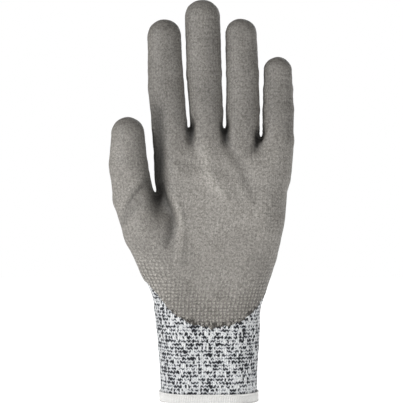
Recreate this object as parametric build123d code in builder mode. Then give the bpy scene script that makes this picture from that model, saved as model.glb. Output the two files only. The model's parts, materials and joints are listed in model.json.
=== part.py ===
"""Coated cut resistant glove, left hand, size 9, as it stands on a hand with the fingers straight up.

Frame, in millimetres: +Z runs up the hand from the wrist opening to the fingertips, the coated
palm faces -Y, and the thumb is on the -X side. The origin is the centre of the wrist opening, in the plane of the hem's edge.

The glove is one seamless knitted liner, a thin polyurethane film dipped onto the palm side, elastic yarns laid
into the cuff, and an overlocked hem. The liner and the film are divided at the lines where a hand bends them.
Each division is a crease: a narrow gap at the hinge line that opens into a V to the front and to the back, so
that two neighbours never meet over their travel. The fabric that folds there is a piece of its own.
"""

from build123d import *
from math import radians, tan
import os

os.makedirs("parts", exist_ok=True)

# Walls, as distances in from the glove's outer face
FILM = 0.4  # the polyurethane film lies from 0 to here
WALL = 1.6  # and the knitted liner from there to here
ROUNDNESS = 0.98  # share of the half depth that a body section's corner radius takes

# Body of the glove, from the hem to the roots of the fingers: height, left edge, right edge, depth
BODY_SECTIONS = [
    (0, -29.5, 30.0, 38.0),
    (22, -30.1, 30.4, 38.4),
    (40, -32.0, 31.6, 39.0),
    (58, -34.0, 32.6, 39.4),
    (70, -34.6, 35.8, 39.2),
    (86, -35.0, 41.5, 38.0),
    (110, -34.5, 46.8, 34.5),
    (136, -32.8, 49.5, 29.5),
    (162, -34.3, 52.9, 22.4),
]
BODY_TOP = BODY_SECTIONS[-1][0]

# Thumb, from inside the heel of the hand up to the middle of its round tip:
# height, middle across, half width, middle front to back, half depth
THUMB_SECTIONS = [
    (60, -19.0, 13.0, -2.0, 15.0),
    (84, -28.0, 16.0, -3.0, 17.0),
    (104, -37.5, 15.5, -4.0, 16.0),
    (124, -46.0, 12.6, -4.0, 13.0),
    (144, -48.9, 11.6, -4.0, 11.4),
    (163, -49.8, 10.4, -4.0, 10.4),
]

# Fingers: middle across at the root, middle across at the tip, height of the tip, radius at the root and tip,
# and the heights of the three hinges
FINGERS = {
    "index": (-22.8, -27.0, 233.0, 11.0, 10.3, (174.5, 194.5, 214.0)),
    "middle": (-0.7, -3.7, 245.0, 10.4, 10.8, (175.5, 198.0, 221.5)),
    "ring": (21.2, 20.4, 233.4, 10.5, 9.8, (174.5, 194.5, 214.0)),
    "little": (42.3, 42.5, 210.2, 9.5, 8.8, (169.0, 182.5, 196.0)),
}
ROOT_HEIGHT = 155.0  # where a finger's cone starts, inside the top of the body

# Travel of each hinge in degrees, back and forward
WRIST_TRAVEL = (-40, 40)
KNUCKLE_TRAVEL = (-10, 60)
FINGER_TRAVEL = {"base": (-10, 40), "middle": (0, 85), "tip": (0, 50)}
THUMB_TRAVEL = {"base": (-10, 10), "middle": (0, 40), "tip": (0, 50)}

# Hinge lines
WRIST_PLACE = (0, 0, 50)
KNUCKLE_PLACE = (9, -4, 146)
AXIS_TO_PALM = 3.0  # a finger's hinge line lies this far in front of the finger's middle
THUMB_CROTCH = (-33.5, -4, 126)  # the thumb's base hinge line runs down from here
THUMB_HEEL = (-49.5, -4, 92)  # and past here
THUMB_ALONG = (-0.085, 0, 1)  # the way the thumb points
THUMB_HINGES = {"middle": (-46.8, 133), "tip": (-49.2, 153)}  # middle across and height
THUMB_MIDDLE = -4.0  # its middle front to back

# Creases
HALF_GAP = 0.35  # half the width of a crease at its hinge line
SPARE_ANGLE = 1.5  # degrees that each side of a crease opens beyond half of its hinge's travel
REACH = 45.0  # how far a cutter reaches in front of and behind its hinge line
PAST = 90.0  # and along the line, where nothing limits it
CROTCH_PAST = 1.5  # how far the thumb's base crease runs on above the crotch

# Edge of the film: where it wraps to behind the middle, and the line it was dipped to, left to right
FILM_BACK = 1.0
DIP_LINE = [
    (-38, 76), (-29.3, 63.9), (-20.7, 55.4), (-8.7, 47.3),
    (3.3, 45.5), (14, 46.9), (24, 52), (37, 68),
]
TIP_WRAP = 7.0  # the film covers a tip all round, this far down
ABOVE = 260.0  # a height past every fingertip

# Hem and elastic
HEM_HEIGHT = 6.0
HEM_PROUD = 0.7  # how far the overlocking stands off the liner, inside, outside and below
ELASTIC = 0.6  # width and thickness of an elastic yarn, half of it sunk into the liner's inner face
ELASTIC_HEIGHTS = [9.5 + 3.5 * turn for turn in range(9)]


class Hinge:
    """A hinge line and its crease. along points to the part that moves, which bends towards palm."""

    def __init__(self, origin, along, palm, travel, span=(PAST, PAST)):
        self.origin = Vector(*origin)
        self.along = Vector(*along).normalized()
        self.axis = self.along.cross(Vector(*palm)).normalized()
        self.travel = travel
        self.span = span
        self.cut = Plane(origin=self.origin, z_dir=self.along)
        self.side = Plane(origin=self.origin, x_dir=self.axis.cross(self.along), z_dir=self.axis)

    def crease(self):
        """The space of the crease, a V each way from its half gap at the hinge line."""
        back, forward = self.travel
        in_front = HALF_GAP + REACH * tan(radians(forward / 2 + SPARE_ANGLE))
        behind = HALF_GAP + REACH * tan(radians(-back / 2 + SPARE_ANGLE))
        with BuildPart() as space:
            with BuildSketch(self.side.offset(-self.span[0])):
                with BuildLine():
                    Polyline(
                        (0, HALF_GAP), (REACH, in_front), (REACH, -in_front), (0, -HALF_GAP),
                        (-REACH, -behind), (-REACH, behind), close=True,
                    )
                make_face()
            extrude(amount=sum(self.span))
        return space.part

    def distance(self, solid):
        """How far a solid's centre lies beyond the hinge line."""
        return (solid.center() - self.origin).dot(self.along)

    def report(self, name):
        """Print the hinge's place in metres, its axis and its travel."""
        place = [round(v / 1000, 6) for v in self.origin]
        print("hinge", name, place, [round(v, 6) for v in self.axis], list(self.travel))


def body_solid(inset):
    """The body of the glove as a solid, with its faces moved in by inset."""
    with BuildPart() as body:
        for height, left, right, depth in BODY_SECTIONS:
            with BuildSketch(Plane.XY.offset(height)):
                with Locations(((left + right) / 2, 0)):
                    half_depth = depth / 2 - inset
                    RectangleRounded(right - left - 2 * inset, 2 * half_depth, ROUNDNESS * half_depth)
        loft(ruled=True)
        split(bisect_by=Plane.XY.offset(BODY_TOP - inset), keep=Keep.BOTTOM)
    return body.part


def thumb_solid(inset):
    """The thumb and its root in the heel of the hand as a solid, with its faces moved in by inset."""
    with BuildPart() as thumb:
        for height, across, half_width, middle, half_depth in THUMB_SECTIONS:
            with BuildSketch(Plane.XY.offset(height)):
                with Locations((across, middle)):
                    Ellipse(half_width - inset, half_depth - inset)
        loft()
        # The last section is round, and the tip stands on it
        with Locations((across, middle, height)):
            Sphere(half_depth - inset)
    return thumb.part


def finger_line(name):
    """A finger's middle line: where it starts, and the run to its tip."""
    root, tip, top = FINGERS[name][:3]
    start = Vector(root, 0, ROOT_HEIGHT)
    return start, Vector(tip, 0, top) - start


def finger_solid(name, inset):
    """A finger as a cone with a round tip, from inside the body, with its faces moved in by inset."""
    root_radius, tip_radius = FINGERS[name][3:5]
    start, run = finger_line(name)
    profile = Plane(origin=start, x_dir=(run.Z, 0, -run.X), z_dir=(0, -1, 0))
    dome = run.length - tip_radius
    with BuildPart() as finger:
        with BuildSketch(profile):
            with BuildLine():
                Polyline(
                    (0, dome + tip_radius - inset), (0, 0),
                    (root_radius - inset, 0), (tip_radius - inset, dome),
                )
                CenterArc((0, dome), tip_radius - inset, 0, 90)
            make_face()
        revolve(axis=Axis(start, run))
    return finger.part


def finger_hinge(name, height, travel):
    """A finger's hinge at some height, square to the finger's middle line."""
    start, run = finger_line(name)
    middle = start + run * ((height - start.Z) / run.Z)
    return Hinge((middle.X, -AXIS_TO_PALM, height), tuple(run), (0, -1, 0), travel)


def thumb_hinge(joint):
    """A hinge of the thumb above its base."""
    across, height = THUMB_HINGES[joint]
    place = (across, THUMB_MIDDLE - AXIS_TO_PALM, height)
    return Hinge(place, THUMB_ALONG, (0, -1, 0), THUMB_TRAVEL[joint])


def body_film_space():
    """Where the body's film lies: in front of its wrap line and above its dip line."""
    with BuildPart() as space:
        with BuildSketch(Plane.XZ.offset(-FILM_BACK)):
            with BuildLine():
                Spline(*DIP_LINE)
                Polyline(
                    DIP_LINE[-1], (PAST, DIP_LINE[-1][1]), (PAST, ABOVE),
                    (-PAST, ABOVE), (-PAST, DIP_LINE[0][1]), DIP_LINE[0],
                )
            make_face()
        extrude(amount=REACH)
    return space.part


def digit_film_space(across, top):
    """Where a digit's film lies: in front of its wrap line, and all round its tip."""
    with BuildPart() as space:
        with Locations((across, FILM_BACK, top)):
            Box(REACH, REACH, 2 * PAST, align=(Align.CENTER, Align.MAX, Align.CENTER))
        with Locations((across, 0, top)):
            Box(REACH, REACH, 2 * TIP_WRAP)
    return space.part


def trimmed(solid, low=None, high=None):
    """The stretch of a solid from one hinge's crease to the next one's."""
    with BuildPart() as stretch:
        add(solid)
        if low:
            split(bisect_by=low.cut, keep=Keep.TOP)
            add(low.crease(), mode=Mode.SUBTRACT)
        if high:
            split(bisect_by=high.cut, keep=Keep.BOTTOM)
            add(high.crease(), mode=Mode.SUBTRACT)
    return stretch.part


def joined(*solids):
    """Solids as one piece."""
    with BuildPart() as whole:
        for solid in solids:
            add(solid)
    return whole.part


def hollowed(whole, *hollows):
    """A solid without its hollows."""
    with BuildPart() as shell:
        add(whole)
        for hollow in hollows:
            add(hollow, mode=Mode.SUBTRACT)
    return shell.part


def filmed(outer, space, *knits):
    """The film over some stretch: what its outer face adds to the knit's, in the film's space."""
    with BuildPart() as film:
        add(outer)
        add(space, mode=Mode.INTERSECT)
        for knit in knits:
            add(knit, mode=Mode.SUBTRACT)
    return film.part


def coated(outer, space, knit):
    """The knit's solid with the film on it, for the creases, where the two fold together."""
    with BuildPart() as film:
        add(outer)
        add(space, mode=Mode.INTERSECT)
    return joined(knit, film.part)


def folded(solid, hinge, *hollows):
    """The fabric in a hinge's crease."""
    with BuildPart() as fold:
        add(solid)
        add(hinge.crease(), mode=Mode.INTERSECT)
        for hollow in hollows:
            add(hollow, mode=Mode.SUBTRACT)
    return fold.part


def parted(shell, hinge):
    """A shell divided by a hinge's crease: the side that stays, then the side that moves."""
    with BuildPart() as divided:
        add(shell)
        add(hinge.crease(), mode=Mode.SUBTRACT)
    stays = [solid for solid in divided.part.solids() if hinge.distance(solid) < 0]
    moves = [solid for solid in divided.part.solids() if hinge.distance(solid) > 0]
    return joined(*stays), joined(*moves)


def save(piece, name):
    """Write a finished piece to its own file."""
    piece.label = name
    export_step(piece, f"parts/{name}.step")
    print(f"{name}: {len(piece.solids())} solid, {piece.volume:.0f} mm3")


def save_stretch(name, outer, space, knit, hollow, low, high):
    """One stretch of a digit with the crease below it."""
    save(hollowed(trimmed(knit, low, high), hollow), f"{name}_liner")
    save(filmed(trimmed(outer, low, high), space, knit), f"{name}_coating")
    save(folded(coated(outer, space, knit), low, hollow), f"{name}_crease")


FACES = (0, FILM, WALL)
body = [body_solid(inset) for inset in FACES]
body_space = body_film_space()
thumb = [thumb_solid(inset) for inset in FACES]
thumb_space = digit_film_space(THUMB_SECTIONS[-1][1], THUMB_SECTIONS[-1][0] + THUMB_SECTIONS[-1][2])
fingers = {name: [finger_solid(name, inset) for inset in FACES] for name in FINGERS}
finger_spaces = {name: digit_film_space(finger[1], finger[2]) for name, finger in FINGERS.items()}

wrist = Hinge(WRIST_PLACE, (0, 0, 1), (0, -1, 0), WRIST_TRAVEL)
knuckle = Hinge(KNUCKLE_PLACE, (0, 0, 1), (0, -1, 0), KNUCKLE_TRAVEL)
finger_hinges = {
    name: {
        joint: finger_hinge(name, height, FINGER_TRAVEL[joint])
        for joint, height in zip(("base", "middle", "tip"), finger[5])
    }
    for name, finger in FINGERS.items()
}
thumb_line = Vector(*THUMB_CROTCH) - Vector(*THUMB_HEEL)
thumb_hinges = {
    "base": Hinge(
        THUMB_CROTCH, (-thumb_line.Z, 0, thumb_line.X), (0, -1, 0), THUMB_TRAVEL["base"], (PAST, CROTCH_PAST)
    ),
    "middle": thumb_hinge("middle"),
    "tip": thumb_hinge("tip"),
}

# The digits beyond their roots
for name, (outer, knit, hollow) in fingers.items():
    base, middle, tip = [finger_hinges[name][joint] for joint in ("base", "middle", "tip")]
    for joint, low, high in (("base", base, middle), ("middle", middle, tip), ("tip", tip, None)):
        save_stretch(f"{name}_{joint}", outer, finger_spaces[name], knit, hollow, low, high)
for joint, upper in (("middle", thumb_hinges["tip"]), ("tip", None)):
    save_stretch(f"thumb_{joint}", thumb[0], thumb_space, *thumb[1:], thumb_hinges[joint], upper)

# The palm with the thumb's root, which the thumb's base crease divides from the thumb
stretches = [
    joined(trimmed(body[face], wrist, knuckle), trimmed(thumb[face], None, thumb_hinges["middle"]))
    for face in (0, 1)
]
palm_liner, thumb_liner = parted(hollowed(stretches[1], body[2], thumb[2]), thumb_hinges["base"])
palm_film, thumb_film = parted(filmed(stretches[0], body_space, body[1], thumb[1]), thumb_hinges["base"])
save(palm_liner, "palm_liner")
save(palm_film, "palm_coating")
save(thumb_liner, "thumb_base_liner")
save(thumb_film, "thumb_base_coating")
root_fabric = coated(stretches[0], body_space, stretches[1])
save(folded(root_fabric, thumb_hinges["base"], body[2], thumb[2]), "thumb_base_crease")

# The knuckles, from the palm's crease to the roots of the fingers
stretches = [
    joined(
        trimmed(body[face], knuckle),
        *[trimmed(solids[face], None, finger_hinges[name]["base"]) for name, solids in fingers.items()],
    )
    for face in (0, 1)
]
knits = [body[1]] + [solids[1] for solids in fingers.values()]
hollows = [body[2]] + [solids[2] for solids in fingers.values()]
save(hollowed(stretches[1], *hollows), "knuckle_liner")
save(filmed(stretches[0], body_space, *knits), "knuckle_coating")
body_fabric = coated(body[0], body_space, body[1])
save(folded(body_fabric, knuckle, body[2]), "knuckle_crease")
save(folded(body_fabric, wrist, body[2]), "wrist_crease")

# The cuff, whose liner stands on the hem's bottom and holds the elastic in its inner face
elastic_faces = [body_solid(WALL - ELASTIC / 2), body_solid(WALL + ELASTIC / 2)]
with BuildPart() as elastic:
    with Locations(*[(0, 0, height) for height in ELASTIC_HEIGHTS]):
        Box(PAST, PAST, ELASTIC)
    add(elastic_faces[0], mode=Mode.INTERSECT)
    add(elastic_faces[1], mode=Mode.SUBTRACT)
save(elastic.part, "cuff_elastic")

with BuildPart() as cuff:
    add(trimmed(body[1], None, wrist))
    split(bisect_by=Plane.XY.offset(HEM_PROUD), keep=Keep.TOP)
    add(body[2], mode=Mode.SUBTRACT)
    add(elastic.part, mode=Mode.SUBTRACT)
save(cuff.part, "cuff_liner")

with BuildPart() as hem:
    add(body_solid(FILM - HEM_PROUD))
    split(bisect_by=Plane.XY.offset(HEM_HEIGHT), keep=Keep.BOTTOM)
    add(body_solid(WALL + HEM_PROUD), mode=Mode.SUBTRACT)
    add(cuff.part, mode=Mode.SUBTRACT)
save(hem.part, "cuff_hem")

wrist.report("wrist")
knuckle.report("knuckle")
for name, hinges in {"thumb": thumb_hinges, **finger_hinges}.items():
    for joint, hinge in hinges.items():
        hinge.report(f"{name}_{joint}")
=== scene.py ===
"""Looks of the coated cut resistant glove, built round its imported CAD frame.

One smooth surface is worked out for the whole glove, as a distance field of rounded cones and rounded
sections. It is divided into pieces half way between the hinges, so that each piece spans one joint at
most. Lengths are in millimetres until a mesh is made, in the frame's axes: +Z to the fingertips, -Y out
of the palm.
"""
import bpy
import json
import numpy as np
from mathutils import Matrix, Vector


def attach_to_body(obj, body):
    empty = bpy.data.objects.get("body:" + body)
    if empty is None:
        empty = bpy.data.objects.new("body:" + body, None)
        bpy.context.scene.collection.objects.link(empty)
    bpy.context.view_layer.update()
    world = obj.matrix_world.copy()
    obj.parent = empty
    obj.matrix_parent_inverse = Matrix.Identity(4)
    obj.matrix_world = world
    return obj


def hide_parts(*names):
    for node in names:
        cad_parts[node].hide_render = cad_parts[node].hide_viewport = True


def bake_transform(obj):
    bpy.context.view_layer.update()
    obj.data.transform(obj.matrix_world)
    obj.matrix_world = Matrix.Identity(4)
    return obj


MM = 0.001
STEP = 0.85  # size of the mesh's quads
LINER = 1.3  # thickness of the knitted liner
FILM = 0.32  # thickness of the film on it
FILM_RAMP = 0.9  # over this distance the film thins out to its edge

# Body: height, left edge, right edge, depth
BODY = np.array([
    (-6, -29.2, 29.8, 37.0), (18, -29.8, 30.2, 37.6), (40, -31.6, 31.6, 38.4), (56, -33.6, 32.0, 39.0),
    (68, -34.0, 35.4, 38.6), (86, -34.0, 41.4, 37.2), (110, -33.0, 46.7, 34.0), (136, -31.2, 48.8, 28.0),
    (150, -30.5, 49.5, 22.0), (158, -30.5, 50.0, 15.0), (165, -30.5, 50.0, 9.0),
])
BODY_TOP = np.array([(-35, 164.6), (14, 164.6), (30, 159.0), (52, 159.0)])  # across, height
# Thumb: across, front to back, height, radius
THUMB = [
    (-19.0, -1.0, 60, 11.8), (-27.0, -3.0, 84, 15.0), (-36.4, -4.0, 104, 15.2), (-45.5, -4.2, 124, 12.5),
    (-48.7, -4.0, 144, 11.6), (-49.0, -4.0, 163.2, 10.0),
]
# Fingers: across, height and radius, from inside the palm to the middle of the round tip
FINGERS = {
    "index": [(-21.6, 138, 10.6), (-23.8, 169, 10.8), (-25.9, 192, 10.9), (-26.9, 222.7, 10.2)],
    "middle": [(-1.2, 138, 9.9), (-1.2, 176, 10.1), (-2.6, 200, 10.7), (-3.6, 234.2, 10.8)],
    "ring": [(21.0, 138, 10.6), (21.1, 178, 10.2), (20.9, 200, 10.0), (19.9, 223.8, 9.6)],
    "little": [(40.2, 138, 9.4), (42.3, 160, 9.5), (42.7, 178, 9.5), (42.6, 190, 9.0), (42.3, 201.5, 8.6)],
}
FLATTER = 1.07  # a finger is this much wider than deep
DIGITS = ["thumb", *FINGERS]
CROTCHES = 164.0  # height where the fingers' own pieces start
CUFF_TOP, PALM_LOW, PALM_HIGH = 30.0, 96.0, 128.0  # heights where the body's pieces meet
THUMB_ENDS = (138.5, 148.0)  # heights where the thumb's pieces meet
THUMB_ALONG = np.array([-0.085, 0, 1])  # the way the thumb points above its base
WRIST_LINES = (51, 58)  # heights of the wrinkles round the wrist
BODY_WALES, THUMB_WALES, FINGER_WALES = 78.0, 34.0, 32.0  # wales all the way round

DIP_LINE = np.array([
    (-70, 74), (-37, 72.5), (-27.2, 61.4), (-20.7, 54.6), (-12, 48.9), (0, 46.0), (13, 47.2), (22, 51.8),
    (28.5, 57), (34, 65), (60, 80),
])
WRAP = 1.0  # the film wraps to this far behind the middle
TIP_WRAP = 9.0  # and all round a tip, this far down

COURSE = 2.1  # height of a stitch
HEM_HEIGHT, HEM_WRAPS, HEM_YARN = 6.6, 150, 0.6
AMBIENT = 0.13  # light from the white surroundings, which the camera sees at full white

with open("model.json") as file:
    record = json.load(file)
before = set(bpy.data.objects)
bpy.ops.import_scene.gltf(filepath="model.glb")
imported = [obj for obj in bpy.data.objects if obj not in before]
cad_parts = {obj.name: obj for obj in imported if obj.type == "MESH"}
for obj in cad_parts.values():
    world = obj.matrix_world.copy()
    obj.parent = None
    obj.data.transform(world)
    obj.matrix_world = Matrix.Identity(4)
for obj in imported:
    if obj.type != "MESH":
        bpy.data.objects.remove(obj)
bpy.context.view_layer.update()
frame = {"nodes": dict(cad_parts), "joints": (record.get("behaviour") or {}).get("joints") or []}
joints = {j["name"]: j for j in frame["joints"]}
thumb_axis = joints["thumb_base_bend"]["axis"]
THUMB_SWING = np.array([-abs(thumb_axis[2]), 0, abs(thumb_axis[0])])  # square to that hinge, palm to thumb


def place(joint):
    """A hinge's place in millimetres."""
    return np.array(joints[f"{joint}_bend"]["pos_m"]) / MM


# ---------------------------------------------------------------- the surface as a distance field

def smooth_min(a, b, width):
    share = np.clip(0.5 + 0.5 * (b - a) / width, 0, 1)
    return b + (a - b) * share - width * share * (1 - share)


def ramp(value, low, high):
    share = np.clip((value - low) / (high - low), 0, 1)
    return share * share * (3 - 2 * share)


def waves(p, size, seed):
    """Smooth noise from -1 to 1 whose features are about size wide."""
    rng = np.random.default_rng(seed)
    total = 0
    for octave in range(7):
        direction = rng.normal(size=3)
        direction *= 2.2 * (0.7 + 0.6 * rng.random()) / (size * np.linalg.norm(direction))
        total = total + np.sin(p @ direction * 2 + rng.random() * 6.28 + 1.3 * np.sin(p @ direction[::-1]))
    return total / 4.0


def cone(p, start, end, start_radius, end_radius):
    """Distance to a rounded cone."""
    run = end - start
    along = np.clip((p - start) @ run / (run @ run), 0, 1)
    return np.linalg.norm(p - start - along[:, None] * run, axis=1) - (
        start_radius + (end_radius - start_radius) * along
    )


def section(z):
    """The body's middle, half straight length and half depth at some heights, smoothed between sections."""
    fine = np.linspace(BODY[0, 0], BODY[-1, 0], 300)
    kernel = np.hanning(23)
    kernel /= kernel.sum()
    values = []
    for column in (1, 2, 3):
        rough = np.interp(fine, BODY[:, 0], BODY[:, column])
        padded = np.pad(rough, 11, mode="edge")
        values.append(np.interp(z, fine, np.convolve(padded, kernel, "valid")))
    left, right, depth = values
    return (left + right) / 2, (right - left - depth) / 2, depth / 2


def body_field(p):
    middle, straight, radius = section(p[:, 2])
    out = np.maximum(np.abs(p[:, 0] - middle) - straight, 0)
    side = np.hypot(out, p[:, 1]) - radius
    top = p[:, 2] - np.interp(p[:, 0], *BODY_TOP.T)
    return -smooth_min(-side, -top, 3.0)


def thumb_field(p):
    total = None
    for low, high in zip(THUMB, THUMB[1:]):
        stretch = cone(p, np.array(low[:3]), np.array(high[:3]), low[3], high[3])
        total = stretch if total is None else smooth_min(total, stretch, 1.5)
    return total


def finger_field(p, name):
    points = [np.array([across, 0, height, radius]) for across, height, radius in FINGERS[name]]
    flat = p * np.array([1, FLATTER, 1])
    total = None
    for low, high in zip(points, points[1:]):
        stretch = cone(flat, low[:3], high[:3], low[3], high[3])
        total = stretch if total is None else smooth_min(total, stretch, 1.0)
    return total


def fields(p):
    """The distances to the body and to each digit."""
    return [body_field(p), thumb_field(p)] + [finger_field(p, name) for name in FINGERS]


def field(p):
    body, thumb, *fingers = fields(p)
    near = fingers[0]
    for finger in fingers[1:]:
        near = smooth_min(near, finger, 0.2)
    whole = smooth_min(body, near, 5.0)
    return smooth_min(whole, thumb, 2.5 + 8.0 * ramp(-p[:, 2], -122, -102) * ramp(p[:, 2], 64, 84))


def slope(function, p, reach=0.2):
    """The gradient of a function at some points."""
    steps = np.eye(3) * reach
    return np.stack([(function(p + s) - function(p - s)) / (2 * reach) for s in steps], axis=1)


# ---------------------------------------------------------------- mesh of the surface

def surface():
    """Quads on the field's zero surface, open at the bottom, and where their corners lie."""
    low = np.array([-66.0, -25.0, 1.2])
    high = np.array([58.0, 25.0, 249.0])
    count = np.ceil((high - low) / STEP).astype(int)
    axes = [low[i] + STEP * np.arange(count[i]) for i in range(3)]
    inside = np.empty(count)
    for k, z in enumerate(axes[2]):
        x, y = np.meshgrid(axes[0], axes[1], indexing="ij")
        slab = np.stack([x.ravel(), y.ravel(), np.full(x.size, z)], axis=1)
        inside[:, :, k] = field(slab).reshape(x.shape)
    sign = inside < 0
    corner = [slice(None, -1), slice(1, None)]
    cubes = np.stack([sign[corner[i], corner[j], corner[k]] for i in (0, 1) for j in (0, 1) for k in (0, 1)])
    crossed = cubes.any(0) & ~cubes.all(0)
    number = np.full(crossed.shape, -1)
    number[crossed] = np.arange(crossed.sum())
    points = low + STEP * (np.argwhere(crossed) + 0.5)
    quads = []
    for axis in range(3):
        other, third = [(1, 2), (2, 0), (0, 1)][axis]
        first = [slice(None)] * 3
        second = [slice(None)] * 3
        first[axis], second[axis] = slice(None, -1), slice(1, None)
        change = sign[tuple(first)] != sign[tuple(second)]
        at = np.argwhere(change)
        fits = np.ones(len(at), bool)
        for side in (other, third):
            fits &= (at[:, side] > 0) & (at[:, side] < number.shape[side])
        at = at[fits]
        leaves = sign[tuple(first)][tuple(at.T)]
        ring = []
        for back_other, back_third in ((1, 1), (0, 1), (0, 0), (1, 0)):
            cell = at.copy()
            cell[:, other] -= back_other
            cell[:, third] -= back_third
            ring.append(number[tuple(cell.T)])
        ring = np.stack(ring, axis=1)
        ring[~leaves] = ring[~leaves][:, ::-1]
        quads.append(ring)
    quads = np.concatenate(quads)
    for _ in range(4):
        gradient = slope(field, points)
        size = np.maximum((gradient**2).sum(1), 0.2)
        points = points - gradient * np.clip(field(points) / size, -0.5, 0.5)[:, None]
        points = relaxed(points, quads, 0.35)
    gradient = slope(field, points)
    points = points - gradient * (field(points) / np.maximum((gradient**2).sum(1), 0.2))[:, None]
    return points, quads


def relaxed(points, quads, share):
    """Points moved towards the middle of their neighbours, except at an open edge."""
    edges = np.concatenate([quads[:, [i, (i + 1) % 4]] for i in range(4)])
    total = np.zeros_like(points)
    count = np.zeros(len(points))
    np.add.at(total, edges[:, 0], points[edges[:, 1]])
    np.add.at(total, edges[:, 1], points[edges[:, 0]])
    np.add.at(count, edges[:, 0], 1)
    np.add.at(count, edges[:, 1], 1)
    moved = points + share * (total / np.maximum(count, 1)[:, None] - points)
    open_edge = points[:, 2] < 1.2 + 1.5 * STEP
    moved[open_edge, 2] = points[open_edge, 2]
    return moved


def normals_of(points, quads):
    across = points[quads[:, 2]] - points[quads[:, 0]]
    up = points[quads[:, 3]] - points[quads[:, 1]]
    face = np.cross(across, up)
    total = np.zeros_like(points)
    for i in range(4):
        np.add.at(total, quads[:, i], face)
    return total / np.maximum(np.linalg.norm(total, axis=1), 1e-9)[:, None]


# ---------------------------------------------------------------- creases and folds in the surface

def groove(distance, width):
    """A soft crease: 1 on its line, 0 past its width."""
    return np.exp(-((distance / width) ** 2))


def to_line(p, points):
    """Distance in the front view from a line through some points, and the share of the way along it."""
    best = np.full(len(p), 1e9)
    share = np.zeros(len(p))
    points = np.array(points, float)
    for number, (start, end) in enumerate(zip(points, points[1:])):
        run = end - start
        along = np.clip((p[:, [0, 2]] - start) @ run / (run @ run), 0, 1)
        away = np.linalg.norm(p[:, [0, 2]] - start - along[:, None] * run, axis=1)
        nearer = away < best
        best = np.where(nearer, away, best)
        share = np.where(nearer, (number + along) / (len(points) - 1), share)
    return best, share


FRONT_FOLDS = [  # width, depth, how much painted shade it lays on the film (below zero, a painted highlight), and the line, across and height
    (2.9, 2.0, 0.58, [(-31.0, 131), (-26.8, 123), (-23.2, 116), (-21.6, 110), (-22.6, 102), (-25.0, 96)]),
    (2.2, -1.5, -0.22, [(-20.0, 125), (-17.4, 116), (-15.8, 106), (-16.5, 96), (-19.0, 85)]),
    (1.8, 1.4, 0.36, [(-52.0, 113), (-44.4, 126), (-37.0, 135)]),
    (2.0, 1.1, 0.30, [(-55.0, 106), (-48.0, 114), (-41.0, 122.5)]),
    (2.6, -0.8, -0.05, [(-53.0, 119), (-46.5, 127), (-41.0, 134)]),
    (3.4, 0.8, 0.15, [(-43.0, 100), (-35.0, 92), (-26.0, 89)]),
    (3.4, 0.7, 0.08, [(-30.0, 150), (-16.0, 146), (4.0, 142), (22.0, 134), (40.0, 128)]),
    (2.6, 0.5, 0.05, [(-28.0, 134), (-10.0, 132), (8.0, 124), (20.0, 112)]),
    (3.0, 0.4, 0.0, [(-26.0, 66), (-10.0, 60), (8.0, 58), (24.0, 63)]),
    (5.6, 2.6, 0.86, [(-31.0, 176), (-31.0, 158), (-31.0, 146), (-30.8, 132), (-29.4, 118)]),
    (2.5, 2.2, 0.93, [(-10.8, 171), (-10.8, 165), (-10.6, 158)]),
    (2.5, 2.2, 0.93, [(9.8, 171), (10.0, 164), (10.6, 157)]),
    (2.5, 2.2, 0.93, [(31.4, 166), (30.6, 160), (29.0, 154)]),
    (2.4, 0.9, 0.10, [(-11.0, 160), (-8.0, 153), (-4.5, 146)]),
    (3.2, 1.3, 0.20, [(11.0, 158), (16.0, 149), (21.0, 141), (28.0, 124)]),
    (2.6, 0.8, 0.12, [(30.0, 157), (26.0, 153), (21.5, 149)]),
    (4.6, -1.5, -0.20, [(-2.5, 155), (-1.0, 148), (2.0, 137), (11.0, 122), (19.0, 112)]),
]


def fold(p, width, line):
    """How much each point belongs to a fold that fades out at both ends."""
    away, share = to_line(p, line)
    return groove(away, width) * np.sin(np.pi * (0.08 + 0.84 * share)) ** 0.5


def tone_with_painted_light(p, n):
    """How light the film is: it varies a little at random, with a painted highlight in the middle of the
    palm, painted shade over the fingers, and painted shade along the folds and painted highlights along the
    ridges that face the front.
    """
    front = ramp(-n[:, 1], -0.4, 0.1)
    # painted highlight: the middle of the palm made lighter
    painted_palm_highlight = groove(np.hypot((p[:, 0] - 6) / 1.3, (p[:, 2] - 125) / 2.0), 19)
    # painted shade: the fingers darker from their crotches up
    value = 0.68 + 0.08 * painted_palm_highlight + 0.04 * waves(p, 20, 32) - 0.17 * ramp(p[:, 2], 148, 176)
    # painted shade along the folds and painted highlight along the ridges, on the front only
    for width, _, shade, line in FRONT_FOLDS:
        value = value * (1 - shade * fold(p, width, line) * front)
    return value


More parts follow.
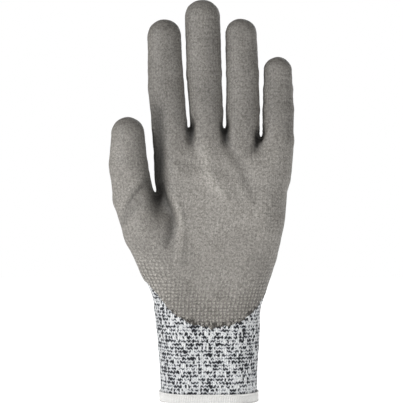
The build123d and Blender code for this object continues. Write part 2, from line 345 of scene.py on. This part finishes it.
def relief(p, n):
    """How far the fabric stands in or out of the smooth surface."""
    front = ramp(-n[:, 1], 0.0, 0.5)
    height = 0.15 * waves(p, 9.0, 3) + 0.10 * waves(p, 4.0, 4)
    for width, depth, _, line in FRONT_FOLDS:
        height = height - depth * fold(p, width, line) * front
    palm = ramp(p[:, 2], 84, 110) * ramp(-p[:, 2], -150, -128)
    hollow = groove(np.hypot((p[:, 0] - 8) / 1.3, (p[:, 2] - 112) / 1.8), 16)
    height = height - 0.9 * hollow * front * palm
    height = height + 1.2 * groove(np.hypot(p[:, 0] - 32, (p[:, 2] - 96) / 1.7), 15) * front
    height = height + 1.6 * groove(np.hypot(p[:, 0] + 37, (p[:, 2] - 100) / 1.3), 12) * front
    for name in FINGERS:
        direction, hinges, _ = stations(name)
        for hinge, depth in zip(hinges, (0.2, 0.34, 0.30)):
            along = (p - hinge) @ direction + 0.5 * waves(p, 11.0, 8)
            here = np.abs(p[:, 0] - hinge[0]) < 12
            lines = groove(along, 1.1) + 0.6 * groove(along - 3.2, 0.9) + 0.5 * groove(along + 2.9, 0.9)
            height = height - depth * lines * here * (0.1 + 0.9 * front)
    low, high = WRIST_LINES
    wrist = groove(p[:, 2] - low - 1.5 * waves(p, 30.0, 6), 2.2)
    wrist = wrist + 0.7 * groove(p[:, 2] - high - 2 * waves(p, 30.0, 7), 1.8)
    height = height - 0.3 * wrist
    return height * ramp(p[:, 2], 4, 14)


# ---------------------------------------------------------------- film

def film_depth(p):
    """How far a point lies inside the film's edge, in millimetres."""
    dip = p[:, 2] - np.interp(p[:, 0], DIP_LINE[:, 0], DIP_LINE[:, 1])
    dip = dip * 0.86 + 0.75 * waves(p, 3.2, 21) + 0.35 * waves(p, 1.3, 22)
    wrap = WRAP - p[:, 1] + 1.1 * waves(p, 6.0, 23) + 0.35 * waves(p, 1.6, 24)
    tips = np.full(len(p), -1e3)
    for name in FINGERS:
        across, height, radius = FINGERS[name][-1]
        here = np.abs(p[:, 0] - across) < 11.4
        tips = np.where(here, p[:, 2] - height - radius + TIP_WRAP, tips)
    over_thumb = p[:, 0] < -38.5
    tips = np.where(over_thumb, p[:, 2] - THUMB[-1][2] - THUMB[-1][3] + TIP_WRAP, tips)
    tips = tips + 0.9 * waves(p, 5.0, 25)
    return np.minimum(dip, np.maximum(wrap, tips))


# ---------------------------------------------------------------- charts for the knit

def charts(p):
    """Which part of the glove each point belongs to: 0 is the body, then the digits."""
    values = np.stack(fields(p))
    chart = values.argmin(0)
    on_finger = (p[:, 2] > CROTCHES - 1) & (chart != 1)
    return np.where(on_finger, 2 + values[2:].argmin(0), np.where(chart == 1, 1, 0))


def thread_place(p, chart):
    """Each point's place in the knit, counted in wales round the glove and courses up it."""
    middle, straight, radius = section(p[:, 2])
    x = p[:, 0] - middle
    out = np.maximum(np.abs(x) - straight, 0)
    turn = radius * np.arctan2(out, -p[:, 1])
    flat = np.where(out > 0, np.minimum(np.abs(x), straight) + turn, np.abs(x))
    half = 2 * straight + np.pi * radius
    behind = (out <= 0) & (p[:, 1] > 0)
    flat = np.where(behind, half - np.abs(x), flat)
    across = np.sign(x) * flat / half * BODY_WALES / 2
    around = np.full(len(p), BODY_WALES)
    for number, name in enumerate(DIGITS, 1):
        if name == "thumb":
            line = np.array(THUMB)
            axis = [np.interp(p[:, 2], line[:, 2], line[:, i]) for i in (0, 1)]
            wales = THUMB_WALES
        else:
            line = np.array(FINGERS[name])
            axis = [np.interp(p[:, 2], line[:, 1], line[:, 0]), 0]
            wales = FINGER_WALES
        angle = np.arctan2(p[:, 0] - axis[0], -(p[:, 1] - axis[1]))
        across = np.where(chart == number, angle / (2 * np.pi) * wales, across)
        around = np.where(chart == number, wales, around)
    return across, p[:, 2] / COURSE, around


# ---------------------------------------------------------------- pieces

def stations(name):
    """A digit's axis, its hinges, and how far along it from its base hinge its pieces end."""
    hinges = [place(f"{name}_{joint}") for joint in ("base", "middle", "tip")]
    if name == "thumb":
        return THUMB_ALONG / np.linalg.norm(THUMB_ALONG), hinges, None
    axis = (hinges[2] - hinges[0]) / np.linalg.norm(hinges[2] - hinges[0])
    at = [(hinge - hinges[0]) @ axis for hinge in hinges]
    return axis, hinges, ((at[0] + at[1]) / 2, (at[1] + at[2]) / 2)


def bends():
    """Each piece's two bodies, and where its bend starts and ends. A piece with one body doesn't bend."""
    found = {
        "cuff": ("cuff", None, None, None),
        "wrist": ("cuff", "palm", (0, 0, 38), (0, 0, 64)),
        "palm": ("palm", None, None, None),
        "knuckles": ("palm", "knuckles", (0, 0, 132), (0, 0, 160)),
    }
    for name in FINGERS:
        axis, hinges, (first, second) = stations(name)
        base, middle, tip = hinges
        low = (CROTCHES + 1.5 - base[2]) / axis[2]
        high = min(-low, first - 1)
        found[f"{name}_base"] = ("knuckles", f"{name}_base", base + low * axis, base + high * axis)
        start, end = base + (first + 1) * axis, base + (second - 1) * axis
        found[f"{name}_middle"] = (f"{name}_base", f"{name}_middle", start, end)
        reach = (tip - base) @ axis - second - 1
        found[f"{name}_tip"] = (f"{name}_middle", f"{name}_tip", tip - reach * axis, tip + reach * axis)
    axis, (base, middle, tip), _ = stations("thumb")
    low, high = THUMB_ENDS
    found["thumb_base"] = ("palm", "thumb_base", base + 1.2 * THUMB_SWING, base + 10 * THUMB_SWING)
    start, end = (middle + (height - middle[2]) * axis for height in (low + 1, high - 1))
    found["thumb_middle"] = ("thumb_base", "thumb_middle", start, end)
    start, end = (tip + (height - tip[2]) * axis for height in (high + 1, high + 12))
    found["thumb_tip"] = ("thumb_middle", "thumb_tip", start, end)
    return found


def piece_of(p, chart):
    """The name of the piece that each point lies in."""
    z = p[:, 2]
    heights = [z < CUFF_TOP, z < PALM_LOW, z < PALM_HIGH]
    names = np.select(heights, ["cuff", "wrist", "palm"], "knuckles").astype(object)
    for number, name in enumerate(DIGITS, 1):
        here = chart == number
        if name == "thumb":
            swing = (p - place("thumb_base")) @ THUMB_SWING
            names[here & (z > 85)] = "palm"
            names[here & (swing > 0)] = "thumb_base"
            names[here & (z > THUMB_ENDS[0])] = "thumb_middle"
            names[here & (z > THUMB_ENDS[1])] = "thumb_tip"
            continue
        axis, hinges, (first, second) = stations(name)
        along = (p - hinges[0]) @ axis
        names[here & (z > CROTCHES)] = f"{name}_base"
        names[here & (along > first)] = f"{name}_middle"
        names[here & (along > second)] = f"{name}_tip"
    return names


def make_object(name, points, faces, normals, material, uv=None, values=None):
    mesh = bpy.data.meshes.new(name)
    mesh.vertices.add(len(points))
    mesh.vertices.foreach_set("co", (points * MM).astype(np.float32).ravel())
    mesh.loops.add(faces.size)
    mesh.loops.foreach_set("vertex_index", faces.astype(np.int32).ravel())
    mesh.polygons.add(len(faces))
    mesh.polygons.foreach_set("loop_start", np.arange(0, faces.size, 4, dtype=np.int32))
    mesh.polygons.foreach_set("loop_total", np.full(len(faces), 4, dtype=np.int32))
    mesh.update(calc_edges=True)
    mesh.polygons.foreach_set("use_smooth", np.ones(len(faces), bool))
    if uv is not None:
        layer = mesh.uv_layers.new(name="knit")
        layer.data.foreach_set("uv", uv.astype(np.float32).ravel())
    for label, value in (values or {}).items():
        attribute = mesh.attributes.new(label, "FLOAT", "POINT")
        attribute.data.foreach_set("value", value.astype(np.float32))
    if normals is not None:
        mesh.normals_split_custom_set_from_vertices([tuple(v) for v in normals])
    mesh.materials.append(material)
    obj = bpy.data.objects.new(name, mesh)
    bpy.context.scene.collection.objects.link(obj)
    return obj


def attach(obj, label):
    """Makes a piece follow its body; a piece between two bodies only has its placement baked into its mesh.
    """
    first, second, start, end = bends()[label]
    if second is None:
        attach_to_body(obj, first)
    else:
        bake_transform(obj)


def stands_for(label, kind):
    """Hides the CAD nodes of a piece. The creases go with the film, or with the liner where there is none."""
    nodes = {
        "cuff": {"liner": ["cuff_liner"]},
        "wrist": {"liner": ["wrist_crease"]},
        "palm": {"liner": ["palm_liner"], "coating": ["palm_coating"]},
        "knuckles": {"liner": ["knuckle_liner"], "coating": ["knuckle_coating", "knuckle_crease"]},
    }.get(label, {"liner": [f"{label}_liner"], "coating": [f"{label}_coating", f"{label}_crease"]})
    if nodes.get(kind):
        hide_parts(*nodes[kind])


# ---------------------------------------------------------------- materials

class Nodes:
    """Short names for making a material's nodes."""

    def __init__(self, name):
        self.material = bpy.data.materials.new(name)
        self.material.use_nodes = True
        self.tree = self.material.node_tree
        self.shader = self.tree.nodes["Principled BSDF"]

    def add(self, kind, inputs=None, **settings):
        node = self.tree.nodes.new(kind)
        for key, value in settings.items():
            setattr(node, key, value)
        for key, value in (inputs or {}).items():
            if isinstance(value, bpy.types.NodeSocket):
                self.tree.links.new(value, node.inputs[key])
            else:
                node.inputs[key].default_value = value
        return node

    def math(self, operation, *values):
        return self.add("ShaderNodeMath", dict(enumerate(values)), operation=operation).outputs[0]

    def noise(self, place, scale, detail=2.0, roughness=0.5):
        inputs = {"Vector": place, "Scale": scale, "Detail": detail, "Roughness": roughness}
        return self.add("ShaderNodeTexNoise", inputs).outputs["Fac"]

    def ramp(self, value, stops, interpolation="LINEAR"):
        node = self.add("ShaderNodeValToRGB", {"Fac": value})
        node.color_ramp.interpolation = interpolation
        for number, (position, colour) in enumerate(stops):
            elements = node.color_ramp.elements
            element = elements[number] if number < 2 else elements.new(position)
            element.position = position
            element.color = (*colour, 1)
        return node.outputs["Color"]

    def mix(self, share, first, second, blend="MIX"):
        node = self.add("ShaderNodeMix", data_type="RGBA", blend_type=blend)
        for key, value in ((0, share), (6, first), (7, second)):
            if isinstance(value, bpy.types.NodeSocket):
                self.tree.links.new(value, node.inputs[key])
            else:
                node.inputs[key].default_value = value if key == 0 else (*value, 1)
        return node.outputs[2]

    def bump(self, height, distance, strength=1.0, normal=None):
        inputs = {"Height": height, "Distance": distance, "Strength": strength}
        if normal is not None:
            inputs["Normal"] = normal
        return self.add("ShaderNodeBump", inputs).outputs["Normal"]

    def wire(self, **sockets):
        for key, value in sockets.items():
            self.tree.links.new(value, self.shader.inputs[key.replace("_", " ")])

    def stitches(self):
        """The knit's height, a yarn value that is low on dark dashes, a chance for each leg, and dots."""
        place = self.add("ShaderNodeUVMap", uv_map="knit").outputs["UV"]
        where = self.add("ShaderNodeTexCoord").outputs["Object"]
        parts = self.add("ShaderNodeSeparateXYZ", {0: place})
        centred = [self.math("SUBTRACT", self.noise(where, scale), 0.5) for scale in (330, 410)]
        uneven = [self.math("MULTIPLY", value, 0.9) for value in centred]
        u, v = (self.math("ADD", parts.outputs[i], uneven[i]) for i in (0, 1))
        bend = self.math("PINGPONG", u, 0.5)
        raised = self.math("ADD", v, self.math("MULTIPLY", bend, 0.75))
        row = self.math("FLOOR", raised)
        leg = self.math("FLOOR", self.math("MULTIPLY", u, 2))
        cell = self.add("ShaderNodeCombineXYZ", {0: leg, 1: row}).outputs[0]
        chance = self.add("ShaderNodeTexWhiteNoise", {"Vector": cell}, noise_dimensions="2D").outputs["Value"]
        run = self.add("ShaderNodeCombineXYZ", {
            0: self.math("MULTIPLY", u, 1.5), 1: self.math("MULTIPLY", row, 7.31),
        })
        streak = self.noise(run.outputs[0], 1.0, 1.0)
        yarn = self.math("ADD", self.math("MULTIPLY", chance, 0.56), self.math("MULTIPLY", streak, 0.44))
        over = self.math("PINGPONG", self.math("MULTIPLY", u, 2), 0.5)
        along = self.math("PINGPONG", raised, 0.5)
        width = self.math("POWER", self.math("MULTIPLY", over, 2), 0.6)
        length = self.math("POWER", self.math("MULTIPLY", along, 2), 0.45)
        middle = self.math("MULTIPLY", self.math("COSINE", self.math("MULTIPLY", raised, 6.2832)), 0.20)
        dot = self.math("MULTIPLY", self.math("MULTIPLY", bend, 2), self.math("MULTIPLY", along, 2))
        return self.math("MULTIPLY", width, length), self.math("ADD", yarn, middle), chance, dot


def knit_material():
    n = Nodes("heather_knit")
    height, yarn, _, _ = n.stitches()
    where = n.add("ShaderNodeTexCoord").outputs["Object"]
    fibre = n.noise(where, 2600.0, 3.0, 0.7)
    patch = n.noise(where, 70.0, 2.0)
    yarn = n.math("ADD", yarn, n.math("MULTIPLY", n.math("SUBTRACT", patch, 0.5), 0.12))
    yarn = n.math("ADD", yarn, n.math("MULTIPLY", n.math("SUBTRACT", fibre, 0.5), 0.14))
    colour = n.ramp(yarn, [
        (0.30, (0.012, 0.013, 0.016)), (0.37, (0.06, 0.064, 0.073)), (0.41, (0.26, 0.275, 0.30)),
        (0.50, (0.54, 0.56, 0.58)), (0.66, (0.84, 0.85, 0.85)),
    ])
    shade = n.ramp(height, [(0.0, (0.42, 0.42, 0.44)), (0.45, (1, 1, 1))])
    colour = n.mix(1.0, colour, shade, "MULTIPLY")
    whole = n.math("ADD", height, n.math("MULTIPLY", fibre, 0.22))
    n.wire(Base_Color=colour, Normal=n.bump(whole, 0.0007, 0.8))
    n.shader.inputs["Roughness"].default_value = 0.9
    n.shader.inputs["Sheen Weight"].default_value = 0.08
    n.shader.inputs["Sheen Roughness"].default_value = 0.6
    n.shader.inputs["Specular IOR Level"].default_value = 0.2
    return n.material


def coating_material():
    n = Nodes("matte_film")
    stitch, _, chance, dot = n.stitches()
    where = n.add("ShaderNodeTexCoord").outputs["Object"]
    rim = n.add("ShaderNodeAttribute", attribute_name="film_rim").outputs["Fac"]
    bare = n.add("ShaderNodeAttribute", attribute_name="film_thin").outputs["Fac"]
    # painted light and shade on the film, kept on the mesh: a little random variation, painted shade on the
    # fingers and in the folds, and painted highlights on the palm and ridges
    painted_light_and_tone = n.add("ShaderNodeAttribute", attribute_name="film_tone_painted_light").outputs["Fac"]
    grain = n.noise(where, 1500.0, 2.0, 0.65)
    pores = n.noise(where, 800.0, 2.0, 0.6)
    patch = n.noise(where, 45.0, 3.0)
    base = n.ramp(patch, [(0.3, (0.312, 0.294, 0.269)), (0.7, (0.360, 0.342, 0.315))])
    # the film's colour scaled from black by this painted light and shade
    base = n.mix(painted_light_and_tone, (0.0, 0.0, 0.0), base)
    speck = n.ramp(pores, [(0.34, (0.58, 0.57, 0.55)), (0.58, (1.2, 1.2, 1.2))])
    base = n.mix(0.75, base, speck, "MULTIPLY")
    fine = n.ramp(grain, [(0.3, (0.60, 0.60, 0.60)), (0.66, (1.35, 1.35, 1.35))])
    base = n.mix(0.8, base, fine, "MULTIPLY")
    knots = n.ramp(dot, [(0.05, (0.30, 0.29, 0.28)), (0.5, (1.45, 1.45, 1.42))])
    shown = n.math("MINIMUM", n.math("ADD", 0.05, n.math("MULTIPLY", bare, 0.85)), 1.0)
    base = n.mix(shown, base, knots, "MULTIPLY")
    scatter = n.math("ADD", n.math("MULTIPLY", chance, 0.45), n.math("MULTIPLY", grain, 0.55))
    dark = n.math("LESS_THAN", scatter, rim)
    base = n.mix(n.math("MULTIPLY", dark, 0.9), base, (0.022, 0.018, 0.014))
    depth = n.math("ADD", 0.12, n.math("MULTIPLY", bare, 0.85))
    height = n.math("ADD", n.math("MULTIPLY", stitch, depth), n.math("MULTIPLY", pores, 0.30))
    height = n.math("ADD", height, n.math("MULTIPLY", grain, 0.2))
    n.wire(Base_Color=base, Normal=n.bump(height, 0.0006, 0.9))
    n.wire(Roughness=n.ramp(patch, [(0.3, (0.52, 0.52, 0.52)), (0.7, (0.64, 0.64, 0.64))]))
    n.shader.inputs["Specular IOR Level"].default_value = 0.4
    return n.material


def hem_material():
    n = Nodes("overlock_yarn")
    where = n.add("ShaderNodeTexCoord").outputs["Object"]
    fibre = n.noise(where, 1800.0, 3.0, 0.7)
    colour = n.ramp(fibre, [(0.3, (0.62, 0.615, 0.60)), (0.65, (0.74, 0.735, 0.72))])
    n.wire(Base_Color=colour, Normal=n.bump(fibre, 0.0002, 0.7))
    n.shader.inputs["Roughness"].default_value = 0.8
    n.shader.inputs["Sheen Weight"].default_value = 0.3
    return n.material


def elastic_material():
    n = Nodes("covered_elastic")
    where = n.add("ShaderNodeTexCoord").outputs["Object"]
    fibre = n.noise(where, 1400.0, 2.0)
    n.wire(Base_Color=n.ramp(fibre, [(0.3, (0.45, 0.45, 0.44)), (0.7, (0.75, 0.75, 0.73))]))
    n.wire(Normal=n.bump(fibre, 0.0002, 0.6))
    n.shader.inputs["Roughness"].default_value = 0.7
    return n.material


# ---------------------------------------------------------------- glove

def corner_threads(points, quads, chart):
    """Each quad's corners in the knit, in its own chart, unwrapped where it crosses the chart's seam."""
    corners = points[quads].reshape(-1, 3)
    across, up, around = thread_place(corners, np.repeat(chart, 4))
    across, around = across.reshape(-1, 4), around.reshape(-1, 4)
    turns = np.round((across - across[:, :1]) / around)
    across = across - turns * around
    return np.stack([across.ravel(), up], axis=1).reshape(-1, 4, 2)


def make_glove():
    knit, coating = knit_material(), coating_material()
    points, quads = surface()
    normals = normals_of(points, quads)
    chart = charts(points[quads].mean(1))
    label = piece_of(points[quads].mean(1), chart)
    threads = corner_threads(points, quads, chart)
    outer = points + normals * (relief(points, normals) - FILM)[:, None]
    outer_normals = normals_of(outer, quads)
    inner = outer - outer_normals * LINER

    # The film's own corners lie on its edge where its quads end
    inside = film_depth(points[quads].mean(1)) > 0
    used = np.zeros(len(points), bool)
    outside_too = np.zeros(len(points), bool)
    used[quads[inside].ravel()] = True
    outside_too[quads[~inside].ravel()] = True
    rim = np.where(used & outside_too)[0]
    laid = outer.copy()
    for _ in range(3):
        gradient = slope(film_depth, laid[rim])
        flat = outer_normals[rim]
        gradient -= (gradient * flat).sum(1)[:, None] * flat
        size = np.maximum((gradient**2).sum(1), 0.3)
        laid[rim] -= gradient * np.clip(film_depth(laid[rim]) / size, -0.3, 0.3)[:, None]
    depth = np.maximum(film_depth(laid), 0)
    depth[rim] = 0
    film = laid + outer_normals * (0.06 + FILM * ramp(depth, -0.2, FILM_RAMP))[:, None]
    film_normals = normals_of(film, quads)
    dip = points[:, 2] - np.interp(points[:, 0], DIP_LINE[:, 0], DIP_LINE[:, 1])
    side = ramp(np.abs(film_normals[:, 0]), 0.35, 0.8)
    thin = 0.50 * ramp(-dip, -32, -6) + 0.12 * ramp(-depth, -3.5, 0) + 0.04 + 0.12 * side
    thin = np.clip(thin + 0.08 * waves(points, 14, 31), 0, 1)
    # painted light and shade for the film: painted shade on the fingers and in the folds, painted highlights
    # on the palm and ridges, and a little random variation
    painted_light_and_tone = tone_with_painted_light(points, film_normals)
    dark_rim = 0.54 * ramp(-dip, -8.5, 0.5) * ramp(points[:, 0], -30, -18)

    for name in sorted(set(label)):
        faces = np.where(label == name)[0]
        shown, numbers = np.unique(quads[faces], return_inverse=True)
        numbers = numbers.reshape(-1, 4)
        both = np.concatenate([numbers, numbers[:, ::-1] + len(shown)])
        uv = np.concatenate([threads[faces], threads[faces][:, ::-1]])
        obj = make_object(
            f"{name}_knit", np.concatenate([outer[shown], inner[shown]]), both,
            np.concatenate([outer_normals[shown], -normals[shown]]), knit, uv,
        )
        stands_for(name, "liner")
        attach(obj, name)
        filmed = faces[inside[faces]]
        if not len(filmed):
            continue
        shown, numbers = np.unique(quads[filmed], return_inverse=True)
        obj = make_object(
            f"{name}_film", film[shown], numbers.reshape(-1, 4), film_normals[shown], coating,
            threads[filmed],
            {"film_rim": dark_rim[shown], "film_thin": thin[shown], "film_tone_painted_light": painted_light_and_tone[shown]},
        )
        stands_for(name, "coating")
        attach(obj, name)


def make_hem():
    """The overlocked hem: one yarn wound round the edge of the liner, over two yarns laid along it."""
    middle, straight, radius = (float(v[0]) for v in section(np.array([2.0])))
    radius -= FILM + LINER / 2
    length = 4 * straight + 2 * np.pi * radius

    def edge(s):
        """A point on the liner's middle line and its outward direction."""
        s = np.mod(s, length)
        arc = np.pi * radius
        bounds = [2 * straight, 2 * straight + arc, 4 * straight + arc]
        angle = np.where(s < bounds[0], 0, np.where(s < bounds[1], (s - bounds[0]) / radius,
                 np.where(s < bounds[2], np.pi, np.pi + (s - bounds[2]) / radius)))
        x = np.where(s < bounds[0], s - straight, np.where(s < bounds[1], straight,
             np.where(s < bounds[2], straight - (s - bounds[1]), -straight)))
        out = np.stack([np.sin(angle), -np.cos(angle)], axis=-1)
        return np.stack([x + middle, 0 * x], axis=-1) + out * radius, out

    def tube(path, yarn, sides=7):
        """A closed tube along a closed path."""
        ahead = np.roll(path, -1, axis=0) - np.roll(path, 1, axis=0)
        ahead /= np.linalg.norm(ahead, axis=1)[:, None]
        out = np.cross(ahead, np.array([0.3, 0.2, 1.0]))
        out /= np.linalg.norm(out, axis=1)[:, None]
        up = np.cross(out, ahead)
        turn = np.arange(sides) * 2 * np.pi / sides
        round_it = out[:, None] * np.cos(turn)[:, None] + up[:, None] * np.sin(turn)[:, None]
        rings = path[:, None] + yarn * round_it
        count = len(path)
        here = np.arange(count)[:, None] * sides + np.arange(sides)
        right = np.roll(here, -1, axis=1)
        above, above_right = np.roll(here, -1, axis=0), np.roll(right, -1, axis=0)
        faces = np.stack([here, right, above_right, above], axis=-1).reshape(-1, 4)
        return rings.reshape(-1, 3), faces

    steps = 18
    turn = np.arange(HEM_WRAPS * steps)
    s = turn / len(turn) * length
    angle = turn / steps * 2 * np.pi
    wobble = 0.10 * np.sin(s * 0.9) + 0.08 * np.sin(s * 2.3 + 1)
    on_edge, out = edge(s + 0.55 * np.sin(angle))
    reach = LINER / 2 + HEM_YARN * 0.75
    across = reach * np.sign(np.sin(angle)) * np.abs(np.sin(angle)) ** 0.35
    height = (HEM_HEIGHT / 2) + (HEM_HEIGHT / 2 - HEM_YARN + wobble * 0.8) * np.cos(angle)
    height = np.maximum(height, HEM_YARN + 0.02)
    wraps = np.concatenate([on_edge + out * across[:, None], height[:, None]], axis=1)
    parts = [tube(wraps, HEM_YARN)]
    s = np.linspace(0, length, 400, endpoint=False)
    on_edge, out = edge(s)
    for side, level in ((1, HEM_HEIGHT - 0.5), (1, 0.75), (-1, HEM_HEIGHT - 0.9)):
        sway = level + 0.22 * np.sin(s / length * 2 * np.pi * HEM_WRAPS)
        ring = np.concatenate([on_edge + side * out * (reach + 0.25), sway[:, None]], axis=1)
        parts.append(tube(ring, HEM_YARN * 0.7))
    points, faces, count = [], [], 0
    for more, rows in parts:
        points.append(more)
        faces.append(rows + count)
        count += len(more)
    obj = make_object("hem_overlock", np.concatenate(points), np.concatenate(faces), None, hem_material())
    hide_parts("cuff_hem")
    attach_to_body(obj, "cuff")


def dress_elastic():
    obj = frame["nodes"]["cuff_elastic"]
    obj.data.materials.clear()
    obj.data.materials.append(elastic_material())


# ---------------------------------------------------------------- stage

def make_camera():
    """Level with the middle of the glove, far enough for little perspective."""
    distance, width, aim = 0.85, 0.2462, Vector((-0.0042, 0.0, 0.1219))
    data = bpy.data.cameras.new("camera")
    data.sensor_width = 36
    data.lens = 36 * distance / width
    camera = bpy.data.objects.new("camera", data)
    camera.location = aim + Vector((0, -distance, 0))
    camera.rotation_euler = (np.pi / 2, 0, 0)
    bpy.context.scene.collection.objects.link(camera)
    bpy.context.scene.camera = camera


def area(name, place, aim, size, power):
    data = bpy.data.lights.new(name, "AREA")
    data.size, data.energy = size, power
    light = bpy.data.objects.new(name, data)
    light.location = place
    light.rotation_euler = (Vector(aim) - Vector(place)).to_track_quat("-Z", "Y").to_euler()
    bpy.context.scene.collection.objects.link(light)


def make_stage():
    bpy.ops.mesh.primitive_circle_add(vertices=96, radius=1.4, fill_type="NGON", location=(0, 0, -0.0002))
    floor = bpy.context.object
    floor.name = "floor"
    n = Nodes("pale_floor")
    where = n.add("ShaderNodeTexCoord").outputs["Object"]
    n.wire(Base_Color=n.ramp(n.noise(where, 3.0), [(0.3, (0.88, 0.88, 0.88)), (0.7, (0.90, 0.90, 0.90))]))
    n.shader.inputs["Roughness"].default_value = 0.9
    n.shader.inputs["Emission Color"].default_value = (1, 1, 1, 1)
    n.shader.inputs["Emission Strength"].default_value = 0.85
    floor.data.materials.append(n.material)
    world = bpy.data.worlds.new("white")
    world.use_nodes = True
    world.node_tree.nodes["Background"].inputs["Color"].default_value = (1, 1, 1, 1)
    seen = world.node_tree.nodes.new("ShaderNodeLightPath").outputs["Is Camera Ray"]
    strength = world.node_tree.nodes.new("ShaderNodeMapRange")
    strength.inputs["To Min"].default_value = AMBIENT
    world.node_tree.links.new(seen, strength.inputs["Value"])
    world.node_tree.links.new(strength.outputs[0], world.node_tree.nodes["Background"].inputs["Strength"])
    bpy.context.scene.world = world
    middle = (0, 0, 0.13)
    area("key", (-0.92, -0.60, 0.60), middle, 0.30, 10.0)
    area("fill", (0.75, -0.90, 0.25), middle, 0.7, 4.0)
    area("back", (0.5, 0.9, 0.6), middle, 0.7, 3.5)
    bpy.context.scene.view_settings.view_transform = "Standard"


make_camera()
make_glove()
make_hem()
dress_elastic()
make_stage()
